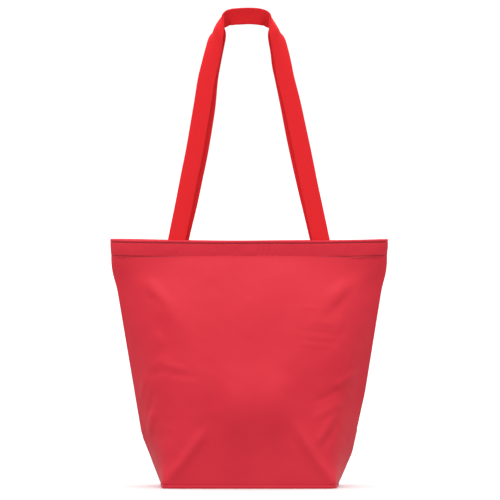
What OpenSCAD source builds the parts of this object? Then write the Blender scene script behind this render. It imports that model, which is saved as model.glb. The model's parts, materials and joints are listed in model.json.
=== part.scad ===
// Insulated tote cooler: a soft zip-top bag with boxed bottom and two long webbing handles.
// The origin is the centre of the base on the floor, X runs along the mouth, Y front to back, Z up.

/* [Bag] */
// Width of the boxed bottom
base_w = 250; // [220:5:270]
// Depth of the boxed bottom, front to back
base_d = 150; // [130:5:160]
// Width across the closed mouth
top_w = 400; // [380:5:420]
// Height of the bag without its handles
bag_h = 356; // [340:2:380]
// Height at which the folded bottom corner ends and the plain side seam starts
kink_h = 77; // [65:1:90]

/* [Layers] */
// Thickness of the coated outer fabric, used for panels and hem
skin_t = 0.6; // [0.4:0.1:0.8]
// Thickness of the foam insulation
foam_t = 2.5; // [2:0.1:2.6]
// Thickness of the foil lining
lining_t = 0.3; // [0.2:0.1:0.4]
// Gap left between neighbouring layers
ply_gap = 0.1; // [0.05:0.05:0.15]

/* [Hem] */
// Height of the sewn hem along the mouth
hem_h = 26; // [22:1:30]
// Depth of the closed mouth, outside to outside
hem_d = 27; // [26:1:30]
// Length of each corner where the hem tapers to the side seam
hem_taper = 22; // [18:1:26]
// Depth of the hem at the side seam
hem_end_d = 14; // [12.8:0.2:14.4]

/* [Handles] */
// Width of the webbing
strap_w = 25; // [20:1:30]
// Thickness of the webbing
strap_t = 1.6; // [1.2:0.1:1.8]
// Distance between the two legs of a handle at the hem, centre to centre
handle_spread = 208; // [180:2:220]
// Height of a handle above the hem
handle_rise = 331; // [280:1:340]
// How far the top of a handle stands to one side
handle_lean = -4; // [-8:1:8]

/* [Zip] */
// Height of the zip tape's top face
zip_z = 346; // [344:1:348]
// Width of the gap between the two zip tapes
zip_gap = 1.8; // [1.6:0.1:2.2]
// Slider position with the mouth closed
slider_x = 170; // [168:1:171]
// Length of the slider
slider_l = 12; // [11:0.5:12]
// Length of the pull tab from its pivot
puller_l = 20; // [16:1:21]

/* [Opening] */
// Width at the base of the wall that swings out as the mouth opens
wall_foot_w = 224; // [200:2:230]
// Width at the mouth of the wall that swings out
wall_top_w = 300; // [280:2:304]
// Gap between a swinging wall and the sides
split_gap = 1.2; // [1:0.1:2]

/* [Hidden] */

$fn = 48;
far = 400;
slab = 0.02;

// Each layer lies between two insets, measured inwards from the face of the hem band.
skin_in = skin_t + ply_gap;
foam_in = skin_in + skin_t + ply_gap;
lining_in = foam_in + foam_t + ply_gap;
tail_in = lining_in + lining_t + ply_gap;
facing_in = tail_in + strap_t + 7 * ply_gap;
tape_in = facing_in + skin_t + ply_gap;
tape_t = 0.5;

hem_z = bag_h - hem_h;
flange_z = bag_h - skin_t;
wall_foot = skin_t + 0.3;
wall_top = flange_z - ply_gap;

// The bag's cross-section at five heights: where the side seam is, where the face folds
// round to the side, how far out the face stands, and half the width of the rounded seam.
level_z = [0, kink_h, 0.5 * bag_h, 0.74 * bag_h];
seam_x = [base_w / 2, base_w / 2 + 30, 0.43 * top_w, 0.466 * top_w];
fold_x = [base_w / 2, base_w / 2 + 4, base_w / 2 + 15, base_w / 2 + 27];
face_y = [base_d / 2, base_d / 2 - 6, base_d / 2 - 23, base_d / 2 - 42];
seam_y = [base_d / 2, 4, 4, 4];
seam_y_min = 0.2;

red = [0.80, 0.10, 0.14];
strap_red = [0.87, 0.06, 0.07];
silver = [0.78, 0.79, 0.80];
foam_white = [0.93, 0.93, 0.92];
metal = [0.65, 0.65, 0.67];

// ---- Outline of the hem in plan, moved inwards by inset ----

function taper_dir() = let (
        run = hem_taper,
        drop = (hem_d - hem_end_d) / 2,
        len = sqrt(run * run + drop * drop)
    ) [drop / len, run / len];

function hem_corners(inset) = let (
        dir = taper_dir(),
        reach = dir.x * (top_w / 2 - hem_taper) + dir.y * hem_d / 2 - inset,
        y_side = hem_d / 2 - inset,
        x_end = top_w / 2 - inset
    ) [
        [(reach - dir.y * y_side) / dir.x, y_side],
        [x_end, (reach - dir.x * x_end) / dir.y]
    ];

// The full outline is mirrored from the corner points of one quarter.
function four_ways(quarter) = let (n = len(quarter)) concat(
        quarter,
        [for (i = [n - 1:-1:0]) [quarter[i].x, -quarter[i].y]],
        [for (i = [0:n - 1]) [-quarter[i].x, -quarter[i].y]],
        [for (i = [n - 1:-1:0]) [-quarter[i].x, quarter[i].y]]
    );

module hem_plan(inset) {
    polygon(four_ways(hem_corners(inset)));
}

module hem_ring(from_inset, to_inset, z_low, z_high) {
    translate([0, 0, z_low])
        linear_extrude(z_high - z_low)
            difference() {
                hem_plan(from_inset);
                hem_plan(to_inset);
            }
}

// ---- Wall layers below and inside the hem ----

module level_plan(i, inset) {
    polygon(four_ways([
        [fold_x[i] - inset, face_y[i] - inset],
        [seam_x[i] - inset, max(seam_y[i] - inset, seam_y_min)]
    ]));
}

// The solid inside one inset, from the floor to the top edge.
module bag_solid(inset) {
    hull() {
        for (i = [0:len(level_z) - 1])
            translate([0, 0, level_z[i]])
                linear_extrude(slab) level_plan(i, inset - skin_in);
        translate([0, 0, hem_z - slab])
            linear_extrude(slab) hem_plan(inset);
    }
    translate([0, 0, hem_z - slab])
        linear_extrude(bag_h - hem_z + slab) hem_plan(inset);
}

module wall_layer(from_inset, thickness) {
    intersection() {
        difference() {
            bag_solid(from_inset);
            bag_solid(from_inset + thickness);
        }
        translate([-far, -far, wall_foot])
            cube([2 * far, 2 * far, wall_top - wall_foot]);
    }
}

// ---- Where the swinging walls are cut from the sides ----

module zone_outline(clearance) {
    polygon([
        [-wall_foot_w / 2 - clearance, 0], [wall_foot_w / 2 + clearance, 0],
        [wall_top_w / 2 + clearance, bag_h], [-wall_top_w / 2 - clearance, bag_h]
    ]);
}

// dir is -1 for the front and 1 for the back.
module wall_zone(dir) {
    mirror([0, dir > 0 ? 1 : 0, 0])
        rotate([90, 0, 0])
            linear_extrude(far) zone_outline(-split_gap / 2);
}

// dir is -1 for the left side and 1 for the right.
module side_zone(dir) {
    mirror([dir < 0 ? 1 : 0, 0, 0])
        difference() {
            translate([0, -far, 0]) cube([far, 2 * far, bag_h]);
            rotate([90, 0, 0])
                linear_extrude(2 * far, center = true) zone_outline(split_gap / 2);
        }
}

// ---- Layers, each cut out for one wall or one side ----

module panel() { color(red) wall_layer(skin_in, skin_t); }
module foam() { color(foam_white) wall_layer(foam_in, foam_t); }
module lining() { color(silver) wall_layer(lining_in, lining_t); }

// The band covers the outside and the cut top edge of the layers.
module hem_band() {
    color(red) {
        hem_ring(0, skin_t, hem_z, bag_h);
        hem_ring(0, tail_in - ply_gap, flange_z, bag_h);
    }
}

// The facing backs the hem inside and meets the band along the top edge.
module hem_facing() {
    color(red) difference() {
        union() {
            hem_ring(facing_in, facing_in + skin_t, hem_z, bag_h);
            hem_ring(tail_in, facing_in + skin_t, flange_z, bag_h);
        }
        for (dir = [-1, 1])
            tails(dir, strap_w + 0.8, strap_t + 0.2);
    }
}

// ---- Base ----

module base_slab(margin, z_low, thickness) {
    translate([-base_w / 2 + margin, -base_d / 2 + margin, z_low])
        cube([base_w - 2 * margin, base_d - 2 * margin, thickness]);
}

base_margin = lining_in - skin_in + lining_t + 0.7;
base_foam_z = skin_t + ply_gap;
base_lining_z = base_foam_z + foam_t + ply_gap;
binding_t = 0.5;
binding_w = 7;
binding_margin = base_margin + 1.4;

module base_panel() { color(red) base_slab(0, 0, skin_t); }
module base_foam() { color(foam_white) base_slab(base_margin, base_foam_z, foam_t); }
module base_lining() { color(silver) base_slab(base_margin, base_lining_z, lining_t); }

module base_binding() {
    binding_z = base_lining_z + lining_t + ply_gap;
    color(silver) difference() {
        base_slab(binding_margin, binding_z, binding_w);
        base_slab(binding_margin + binding_t, binding_z - 1, binding_w + 2);
    }
}

// The bound allowance of a side seam stands inwards from it.
module side_binding(dir) {
    last = len(level_z) - 1;
    inner = [for (i = [1:last]) [seam_x[i] - 13, level_z[i]]];
    outer = [for (i = [last:-1:1]) [seam_x[i] - 6, level_z[i]]];
    color(silver)
        mirror([dir < 0 ? 1 : 0, 0, 0])
            rotate([90, 0, 0])
                linear_extrude(2, center = true) polygon(concat(inner, outer));
}

// ---- Zip ----

coil_r = 1.05;
coil_z = zip_z + ply_gap + coil_r;
coil_y = zip_gap / 2 + coil_r;
tape_y = hem_d / 2 - tape_in;
tape_drop = 12;

// One half of the zip's tape, sewn down inside the facing and level across the gap.
module tape_run(x_low, x_high, dir) {
    mirror([0, dir < 0 ? 1 : 0, 0])
        translate([x_low, 0, 0]) {
            translate([0, zip_gap / 2, zip_z - tape_t])
                cube([x_high - x_low, tape_y - zip_gap / 2, tape_t]);
            translate([0, tape_y - tape_t, zip_z - tape_drop])
                cube([x_high - x_low, tape_t, tape_drop]);
        }
}

module coil_run(x_low, x_high, dir) {
    translate([x_low, dir * coil_y, coil_z])
        rotate([0, 90, 0])
            cylinder(h = x_high - x_low, r = coil_r);
}

swing_x = wall_top_w / 2 - split_gap / 2 - 1.2;
fixed_x = wall_top_w / 2 + split_gap / 2;
tape_end_x = slider_x + slider_l / 2 + 0.5;

module zip_tape(dir) { color(strap_red) tape_run(-swing_x, swing_x, dir); }
module zip_coil(dir) { color(strap_red) coil_run(-swing_x, swing_x, dir); }

module zip_end(dir) {
    color(strap_red)
        mirror([dir < 0 ? 1 : 0, 0, 0])
            for (side = [-1, 1]) {
                tape_run(fixed_x, tape_end_x, side);
                coil_run(fixed_x, tape_end_x, side);
            }
}

stop_l = 1.6;
slider_travel = 2 * slider_x - 10;
stop_x = [slider_x - slider_travel - slider_l / 2 - 0.5 - stop_l, slider_x + slider_l / 2 + 0.3];

// A metal clip closed round both chains at the end of the travel.
module zip_stop(end) {
    clip_w = 7;
    color(metal)
        translate([stop_x[end], -clip_w / 2, coil_z + coil_r])
            cube([stop_l, clip_w, 0.8]);
}

slider_w = 9;
slider_tail_w = 7;
plate_t = 1.3;
slider_gap = 0.4;
top_plate_z = coil_z + coil_r + slider_gap;
bottom_plate_z = zip_z - tape_t - slider_gap - plate_t;
rim_w = 0.8;
post_w = 1;
pivot_z = top_plate_z + plate_t + 1.8;
pivot_dx = -1;
bail_r = 1.3;
bail_wall = 0.9;
bail_w = 2;

module slider_plate(z_low, thickness) {
    translate([0, 0, z_low])
        linear_extrude(thickness)
            polygon([
                [-slider_l / 2, -slider_w / 2], [0, -slider_w / 2],
                [slider_l / 2, -slider_tail_w / 2], [slider_l / 2, slider_tail_w / 2],
                [0, slider_w / 2], [-slider_l / 2, slider_w / 2]
            ]);
}

module zip_slider() {
    color(metal) translate([slider_x, 0, 0]) {
        slider_plate(top_plate_z, plate_t);
        slider_plate(bottom_plate_z, plate_t);
        translate([-slider_l / 2, -post_w / 2, bottom_plate_z])
            cube([3, post_w, top_plate_z - bottom_plate_z + plate_t]);
        rim_z = zip_z + slider_gap;
        for (dir = [-1, 1])
            translate([-slider_l / 2, dir > 0 ? slider_w / 2 - rim_w : -slider_w / 2, rim_z])
                cube([slider_l / 2, rim_w, top_plate_z + plate_t - rim_z]);
        // The bail that the pull tab's bar turns in.
        translate([pivot_dx, 0, 0])
            difference() {
                union() {
                    translate([0, 0, pivot_z]) rotate([90, 0, 0])
                        cylinder(h = bail_w, r = bail_r + bail_wall, center = true);
                    translate([-bail_r - bail_wall, -bail_w / 2, top_plate_z + plate_t / 2])
                        cube([2 * (bail_r + bail_wall), bail_w, pivot_z - top_plate_z - plate_t / 2]);
                }
                translate([0, 0, pivot_z]) rotate([90, 0, 0])
                    cylinder(h = bail_w + 2, r = bail_r, center = true);
            }
    }
}

puller_w = 6;
puller_t = 1.2;
arm_w = 1.2;
bar_r = 0.8;
eye_l = 5;

module zip_puller() {
    eye_w = puller_w - 2 * arm_w;
    color(metal) translate([slider_x + pivot_dx, 0, pivot_z]) {
        rotate([90, 0, 0]) cylinder(h = puller_w, r = bar_r, center = true);
        translate([0, 0, -puller_t / 2])
            linear_extrude(puller_t)
                difference() {
                    union() {
                        translate([-puller_l + puller_w / 2, -puller_w / 2])
                            square([puller_l - puller_w / 2, puller_w]);
                        translate([-puller_l + puller_w / 2, 0]) circle(puller_w / 2);
                    }
                    translate([-eye_l, -eye_w / 2]) square([eye_l + 1, eye_w]);
                    translate([-puller_l + puller_w / 2, 0]) circle(1.4);
                }
    }
}

// ---- Handles ----

tail_y = hem_d / 2 - tail_in - strap_t / 2;
tail_l = hem_h - 2;
leg_top = [0.52 * handle_spread / 2, 0.79 * handle_rise];
crown = [0, handle_rise - strap_w / 2];
handle_foot = bag_h + 1.2;
handle_gap = 1.2;
handle_tilt = atan((tail_y - strap_t / 2 - handle_gap / 2) / handle_rise);

function leg_dir() = let (d = leg_top - [handle_spread / 2, 0]) d / norm(d);

// The centre line is straight up the leg, then one curve over to the crown.
function crown_bend(t) = let (
        u = 1 - t,
        from_leg = leg_top + 32 * leg_dir(),
        to_crown = crown + [26, 0]
    ) u * u * u * leg_top + 3 * u * u * t * from_leg + 3 * u * t * t * to_crown + t * t * t * crown;

function crown_dir(t) = let (d = crown_bend(t + 0.01) - crown_bend(t - 0.01)) d / norm(d);

function lean_over(p) = [p.x + handle_lean * pow(p.y / handle_rise, 2), p.y];

leg_run = leg_top - [handle_spread / 2, 0];
leg_steps = [-0.02, 0.25, 0.5, 0.75];
bend_steps = [0:0.1:0.95];

// One edge of the right half of the strap up to the crown, side 1 outside and -1 inside.
function edge(side) = let (half_w = side * strap_w / 2) concat(
        [for (t = leg_steps) [handle_spread / 2, 0] + t * leg_run + half_w * [leg_dir().y, -leg_dir().x]],
        [for (t = bend_steps) crown_bend(t) + half_w * [crown_dir(t).y, -crown_dir(t).x]]
    );

function flip(points) = [for (i = [len(points) - 1:-1:0]) [-points[i].x, points[i].y]];
function backwards(points) = [for (i = [len(points) - 1:-1:0]) points[i]];
function arch(side) = concat(edge(side), [crown + [0, side * strap_w / 2]], flip(edge(side)));

module handle_outline() {
    intersection() {
        polygon([for (p = concat(arch(1), backwards(arch(-1)))) lean_over(p)]);
        translate([-far, 0]) square([2 * far, far]);
    }
}

module handle(dir) {
    color(strap_red)
        translate([0, dir * tail_y, handle_foot])
            rotate([dir * handle_tilt, 0, 0])
                rotate([90, 0, 0])
                    linear_extrude(strap_t, center = true) handle_outline();
}

// The two ends of a handle, sewn in between the lining and the facing.
module tails(dir, width, thickness) {
    slope = leg_run.x / leg_run.y;
    foot_x = handle_spread / 2 - slope * tail_l;
    color(strap_red)
        for (side = [0, 1])
            mirror([side, 0, 0])
                translate([0, dir * tail_y, bag_h])
                    rotate([90, 0, 0])
                        linear_extrude(thickness, center = true)
                            polygon([
                                [handle_spread / 2 - width / 2, 0.2], [handle_spread / 2 + width / 2, 0.2],
                                [foot_x + width / 2, -tail_l], [foot_x - width / 2, -tail_l]
                            ]);
}

// ---- Nodes ----

module on_wall(dir) { intersection() { children(); wall_zone(dir); } }
module on_side(dir) { intersection() { children(); side_zone(dir); } }

base_panel();
base_foam();
base_lining();
base_binding();

on_side(-1) panel();  // left_side_panel
on_side(-1) foam();  // left_side_foam
on_side(-1) lining();  // left_side_lining
side_binding(-1);  // left_side_binding
on_side(-1) hem_band();  // left_hem_band
on_side(-1) hem_facing();  // left_hem_facing
zip_end(-1);  // left_zip_end
zip_stop(0);  // left_zip_stop

on_side(1) panel();  // right_side_panel
on_side(1) foam();  // right_side_foam
on_side(1) lining();  // right_side_lining
side_binding(1);  // right_side_binding
on_side(1) hem_band();  // right_hem_band
on_side(1) hem_facing();  // right_hem_facing
zip_end(1);  // right_zip_end
zip_stop(1);  // right_zip_stop

on_wall(-1) panel();  // front_panel
on_wall(-1) foam();  // front_foam
on_wall(-1) lining();  // front_lining
on_wall(-1) hem_band();  // front_hem_band
on_wall(-1) hem_facing();  // front_hem_facing
zip_tape(-1);  // front_zip_tape
zip_coil(-1);  // front_zip_coil
tails(-1, strap_w, strap_t);  // front_handle_tails

on_wall(1) panel();  // back_panel
on_wall(1) foam();  // back_foam
on_wall(1) lining();  // back_lining
on_wall(1) hem_band();  // back_hem_band
on_wall(1) hem_facing();  // back_hem_facing
zip_tape(1);  // back_zip_tape
zip_coil(1);  // back_zip_coil
tails(1, strap_w, strap_t);  // back_handle_tails

zip_slider();
zip_puller();
handle(-1);  // front_handle
handle(1);  // back_handle
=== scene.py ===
import json
import math

import bmesh
import bpy
import numpy as np
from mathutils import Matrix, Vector

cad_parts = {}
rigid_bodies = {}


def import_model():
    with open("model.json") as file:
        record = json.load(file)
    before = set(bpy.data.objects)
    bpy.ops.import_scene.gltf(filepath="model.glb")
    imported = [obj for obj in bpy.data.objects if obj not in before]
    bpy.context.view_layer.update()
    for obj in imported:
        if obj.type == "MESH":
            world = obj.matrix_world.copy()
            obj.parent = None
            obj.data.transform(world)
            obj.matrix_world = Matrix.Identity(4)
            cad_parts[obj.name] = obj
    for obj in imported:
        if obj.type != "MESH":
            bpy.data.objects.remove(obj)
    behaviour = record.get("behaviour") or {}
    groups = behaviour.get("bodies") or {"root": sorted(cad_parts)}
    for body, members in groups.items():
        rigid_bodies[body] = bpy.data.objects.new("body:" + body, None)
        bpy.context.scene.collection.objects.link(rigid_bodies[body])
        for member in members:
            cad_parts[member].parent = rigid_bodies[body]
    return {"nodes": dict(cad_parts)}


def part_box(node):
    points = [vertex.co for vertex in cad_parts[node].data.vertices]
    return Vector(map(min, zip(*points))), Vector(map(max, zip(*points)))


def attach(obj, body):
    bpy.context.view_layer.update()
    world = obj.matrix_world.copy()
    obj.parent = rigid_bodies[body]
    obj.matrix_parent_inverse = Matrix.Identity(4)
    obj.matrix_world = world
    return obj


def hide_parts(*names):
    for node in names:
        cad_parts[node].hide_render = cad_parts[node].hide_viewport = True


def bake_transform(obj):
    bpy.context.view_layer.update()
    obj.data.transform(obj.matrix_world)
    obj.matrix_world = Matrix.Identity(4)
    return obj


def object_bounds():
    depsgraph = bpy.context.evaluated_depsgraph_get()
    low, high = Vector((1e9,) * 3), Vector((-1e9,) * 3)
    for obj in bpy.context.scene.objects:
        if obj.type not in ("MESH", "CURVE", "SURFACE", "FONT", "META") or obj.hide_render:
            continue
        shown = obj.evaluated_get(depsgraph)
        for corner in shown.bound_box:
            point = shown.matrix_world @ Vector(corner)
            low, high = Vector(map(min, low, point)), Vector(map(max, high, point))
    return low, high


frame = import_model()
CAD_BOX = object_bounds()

# An insulated cooler bag: outer cloth, foam and foil lining sewn to a sewn hem with a zip,
# and two webbing handles. All lengths are in metres, in the frame of the CAD model.
MM = 0.001


# ---------------------------------------------------------------- driving sizes
BASE_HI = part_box("base_panel")[1]
HEM_LO, HEM_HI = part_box("front_hem_band")
HALF_L = BASE_HI.x                      # half the base, left to right
HALF_D = BASE_HI.y                      # half the base, front to back
HALF_W = CAD_BOX[1].x                   # half the mouth
TOP_Z = HEM_HI.z                        # top of the hem
HEM_Z = HEM_LO.z                        # lower edge of the hem
HEM_H = TOP_Z - HEM_Z
HEM_Y = -HEM_LO.y                       # hem face, from the middle plane

PLY = 0.1 * MM                          # room between two plies
CLOTH_T = 0.6 * MM
FOAM_T = 2.5 * MM
LINING_T = 0.3 * MM
SKIN_D = CLOTH_T + PLY                  # at the hem the cloth lies this deep, under the band
FOAM_D = SKIN_D                         # depth of each ply below the cloth's outer face
LINING_D = FOAM_D + FOAM_T + PLY
CORNER = 20 * MM                        # how far round the base's corners run
SEAM_UP = 5 * MM                        # the base is sewn on this high above the floor
CLOTH_L = 365 * MM                      # cut height of the front and of the back cloth

STRAP_W = 25 * MM
STRAP_T = 1.6 * MM
SHARP = math.radians(40)                # edges bent more than this are shaded sharp

PRESSURE = 9.0                          # of the filling on the cloths, in Blender's units
BENDING = 1.5                           # stiffness of cloth and foam together
CLOTH_STEP = 7 * MM                     # mesh of the solved cloths
CLOTH_FRAMES = 40                       # the cloths are at rest by then

# The side seams, as (height, distance from the middle) in mm: a firm kink on the left, two
# soft ones on the right.
LEFT_SEAM = ((0, 125), (77, 156), (330, 198.6), (356, 200.4))
RIGHT_SEAM = ((0, 126.4), (48, 148.4), (136, 167.8), (330, 199.0), (356, 200.4))
# Half the bag's depth before the cloths are blown up, as (distance up the cloth, depth) in mm.
START_DEPTH = ((0, 75), (80, 72), (185, 58), (280, 36))


# ---------------------------------------------------------------- small helpers
def smooth(t):
    t = np.clip(t, 0.0, 1.0)
    return t * t * (3 - 2 * t)


def bump(x, centre, width):
    return np.exp(-((x - centre) / width) ** 2)


def ripple(a, b, wave, seed):
    """A smooth uneven surface between about -1 and 1, the same each run."""
    rng = np.random.default_rng(seed)
    count, out = 9, 0.0
    for _ in range(count):
        turn = rng.uniform(0, math.pi)
        size = 2 * math.pi / (wave * rng.uniform(0.7, 1.6))
        out = out + np.sin(size * (a * math.cos(turn) + b * math.sin(turn)) + rng.uniform(0, 6.28))
    return out / math.sqrt(count)


def unit(v):
    return v / np.maximum(np.linalg.norm(v, axis=-1, keepdims=True), 1e-12)


def new_piece(name, verts, faces, uvs=None):
    """A smooth-shaded mesh object, with one uv for each vertex where uvs are given."""
    mesh = bpy.data.meshes.new(name)
    mesh.from_pydata(np.asarray(verts).tolist(), [], faces)
    mesh.update()
    piece = bpy.data.objects.new(name, mesh)
    bpy.context.scene.collection.objects.link(piece)
    if uvs is not None:
        layer = mesh.uv_layers.new(name="cloth_uv")
        index = np.zeros(len(mesh.loops), int)
        mesh.loops.foreach_get("vertex_index", index)
        layer.data.foreach_set("uv", np.asarray(uvs, float)[index].ravel())
    work = bmesh.new()
    work.from_mesh(mesh)
    bmesh.ops.recalc_face_normals(work, faces=work.faces)
    work.to_mesh(mesh)
    work.free()
    mesh.polygons.foreach_set("use_smooth", [True] * len(mesh.polygons))
    mesh.set_sharp_from_angle(angle=SHARP)
    return piece


def grid_faces(n, m, start=0, wrap=False):
    """Faces of a grid of n rows of m points, the rows closed into rings where wrap is set."""
    faces = []
    for i in range(n - 1):
        for j in range(m if wrap else m - 1):
            k = (j + 1) % m
            faces.append((start + i * m + j, start + (i + 1) * m + j,
                          start + (i + 1) * m + k, start + i * m + k))
    return faces


def shell(name, outer, inner, uv):
    """A closed sheet between two grids of n by m points."""
    n, m = outer.shape[:2]
    size = n * m
    faces = grid_faces(n, m)
    faces += [tuple(size + k for k in reversed(f)) for f in faces]
    rim = [(i, 0) for i in range(n)] + [(n - 1, j) for j in range(1, m)]
    rim += [(i, m - 1) for i in range(n - 2, -1, -1)] + [(0, j) for j in range(m - 2, 0, -1)]
    rim = [i * m + j for i, j in rim]
    for a, b in zip(rim, rim[1:] + rim[:1]):
        faces.append((a, b, size + b, size + a))
    verts = np.concatenate([outer.reshape(-1, 3), inner.reshape(-1, 3)])
    return new_piece(name, verts, faces, np.concatenate([uv.reshape(-1, 2)] * 2))


def tube(name, rings, uv=None):
    """A closed bar through rings of points, with a flat cap at each end."""
    n, m = rings.shape[:2]
    faces = grid_faces(n, m, wrap=True)
    faces.append(tuple(range(m)))
    faces.append(tuple(range((n - 1) * m, n * m)))
    uvs = None if uv is None else uv.reshape(-1, 2)
    return new_piece(name, rings.reshape(-1, 3), faces, uvs)


def path_length(points):
    """The distance along a row of points at each of them, from 0."""
    steps = np.linalg.norm(np.diff(points, axis=0), axis=1)
    return np.concatenate([[0], np.cumsum(steps)])


def outward(points, side):
    """Unit normals of a wall's grid of points; side -1 looks to the front, 1 to the back."""
    normal = unit(np.cross(np.gradient(points, axis=0), np.gradient(points, axis=1)))
    return normal * np.where(normal[..., 1:2] * side < 0, -1, 1)


# ---------------------------------------------------------------- the mouth, seen from above
def mouth_line():
    """Half of the hem face's plan, from the middle to the side seam, by distance along it."""
    bend = HALF_W - 36 * MM
    x = np.concatenate([np.linspace(0, bend, 200)[:-1],
                        bend + (HALF_W - bend) * np.sin(np.linspace(0, math.pi / 2, 120))])
    t = np.clip((x - bend) / (HALF_W - bend), 0, 1)
    y = HEM_Y * (1 - t ** 2.4) ** 0.56
    s = path_length(np.column_stack([x, y]))
    return s * HALF_W / s[-1], x, y


MOUTH_S, MOUTH_X, MOUTH_Y = mouth_line()


def mouth(u, inset, side):
    """Plan points of the hem at cloth position u, moved in by inset; side -1 front, 1 back."""
    a = np.abs(u)
    x, y = np.interp(a, MOUTH_S, MOUTH_X), np.interp(a, MOUTH_S, MOUTH_Y)
    step = 1.5 * MM
    b, c = np.clip(a - step, 0, HALF_W), np.clip(a + step, 0, HALF_W)
    tx = np.interp(c, MOUTH_S, MOUTH_X) - np.interp(b, MOUTH_S, MOUTH_X)
    ty = np.interp(c, MOUTH_S, MOUTH_Y) - np.interp(b, MOUTH_S, MOUTH_Y)
    length = np.hypot(tx, ty)
    x, y = x + ty / length * inset, y - tx / length * inset
    y = np.maximum(y, 0.12 * MM)
    return np.sign(u) * np.abs(x), side * y


# ---------------------------------------------------------------- the two big cloths
def seam_point(side, v):
    """x and z of a side seam, at the distance v up the cloth from the base."""
    table = np.array(RIGHT_SEAM if side > 0 else LEFT_SEAM, float) * MM
    s = path_length(table)
    s *= CLOTH_L / s[-1]
    return np.interp(v, s, table[:, 1]), np.interp(v, s, table[:, 0])


def start_point(u, v):
    """Where the cloth starts before it is blown up: flat faces folded towards the side seams."""
    sx, sz = seam_point(1 if u > 0 else -1, v)
    table = np.array(START_DEPTH) * MM
    face = np.interp(v, [*table[:, 0], CLOTH_L], [*table[:, 1], HEM_Y])
    fold = (HALF_W + sx) / 2 - face * face / (2 * max(HALF_W - sx, 0.1 * MM))
    fold = min(max(fold, 0), sx)
    a = abs(u)
    if a <= fold:
        x, y = a, face
    else:
        k = (a - fold) / max(HALF_W - fold, 1e-6)
        x, y = fold + (sx - fold) * k, face * (1 - k)
    if v == 0:                          # the foot follows the base, round its corners
        spread = a + np.linspace(-CORNER, CORNER, 21)
        x = float(np.minimum(spread, HALF_L).mean())
        y = float((HALF_D - np.maximum(spread - HALF_L, 0)).mean())
    mx, my = mouth(np.array([a]), SKIN_D, 1)
    k = float(smooth((v - (CLOTH_L - HEM_H - 50 * MM)) / (50 * MM)))
    return (math.copysign(x * (1 - k) + mx[0] * k, u), y * (1 - k) + my[0] * k, sz)


def blown_cloths():
    """Front and back cloth as grids, their shape found by Blender's cloth solver: a bag of
    unstretchable cloth, sewn to the base, the hem and the side seams, and filled with air."""
    n, m = 2 * round(HALF_W / CLOTH_STEP), round(CLOTH_L / CLOTH_STEP)
    us, vs = np.linspace(-HALF_W, HALF_W, n + 1), np.linspace(0, CLOTH_L, m + 1)
    index, verts, flat = {}, [], []
    for side in (-1, 1):
        for j, v in enumerate(vs):
            for i, u in enumerate(us):
                if side > 0 and i in (0, n):
                    index[side, i, j] = index[-1, i, j]
                    continue
                x, y, z = start_point(u, v)
                if i in (0, n):
                    y = 0
                index[side, i, j] = len(verts)
                verts.append((x, side * y, z))
                flat.append((u, 0, v))
    faces = []
    for side in (-1, 1):
        for j in range(m):
            for i in range(n):
                quad = [index[side, i, j], index[side, i + 1, j],
                        index[side, i + 1, j + 1], index[side, i, j + 1]]
                faces.append(quad if side < 0 else quad[::-1])
    points = solve_cloth(verts, faces, flat, index, us, vs)
    grids = {s: np.array([[points[index[s, i, j]] for j in range(m + 1)] for i in range(n + 1)])
             for s in (-1, 1)}
    # foam makes the upright corners over the base softer than cloth alone would
    soft = 0.95 * smooth(vs / (50 * MM)) * (1 - smooth((vs - 110 * MM) / (110 * MM)))
    for grid in grids.values():
        for _ in range(26):
            mean = (grid[:-2] + 2 * grid[1:-1] + grid[2:]) / 4
            grid[1:-1] += soft[None, :, None] * (mean - grid[1:-1])
    return us, vs, grids


def solve_cloth(verts, faces, flat, index, us, vs):
    """The solver's points. flat is the cut cloth, laid out; its sewn edges don't move."""
    mesh = bpy.data.meshes.new("cloth_start")
    mesh.from_pydata(verts, [], faces)
    cloth = bpy.data.objects.new("cloth_start", mesh)
    scene = bpy.context.scene
    scene.collection.objects.link(cloth)
    cloth.shape_key_add(name="Basis")
    cut = cloth.shape_key_add(name="cut")
    cut.data.foreach_set("co", np.array(flat, float).ravel())
    pins = cloth.vertex_groups.new(name="sewn")
    last = len(us) - 1
    for (_, i, j), k in index.items():
        if j == 0 or vs[j] >= CLOTH_L - HEM_H * 1.02 or i in (0, last):
            pins.add([k], 1.0, "REPLACE")
    solver = cloth.modifiers.new("cloth", "CLOTH")
    s = solver.settings
    s.vertex_group_mass = "sewn"
    s.rest_shape_key = cut
    s.quality = 6
    s.mass = 0.3
    s.tension_stiffness = s.compression_stiffness = 40
    s.shear_stiffness = 20
    s.bending_stiffness = BENDING
    s.tension_damping = s.compression_damping = s.shear_damping = 5
    s.bending_damping = 0.5
    s.use_pressure = True
    s.uniform_pressure_force = PRESSURE
    s.effector_weights.gravity = 0
    solver.collision_settings.use_collision = False
    solver.collision_settings.use_self_collision = False
    scene.frame_start, scene.frame_end = 1, CLOTH_FRAMES
    solver.point_cache.frame_start, solver.point_cache.frame_end = 1, CLOTH_FRAMES
    for f in range(1, CLOTH_FRAMES + 1):
        scene.frame_set(f)
    shown = cloth.evaluated_get(bpy.context.evaluated_depsgraph_get())
    points = np.zeros(len(verts) * 3)
    shown.data.vertices.foreach_get("co", points)
    scene.frame_set(1)
    bpy.data.objects.remove(cloth)
    return points.reshape(-1, 3)


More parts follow.
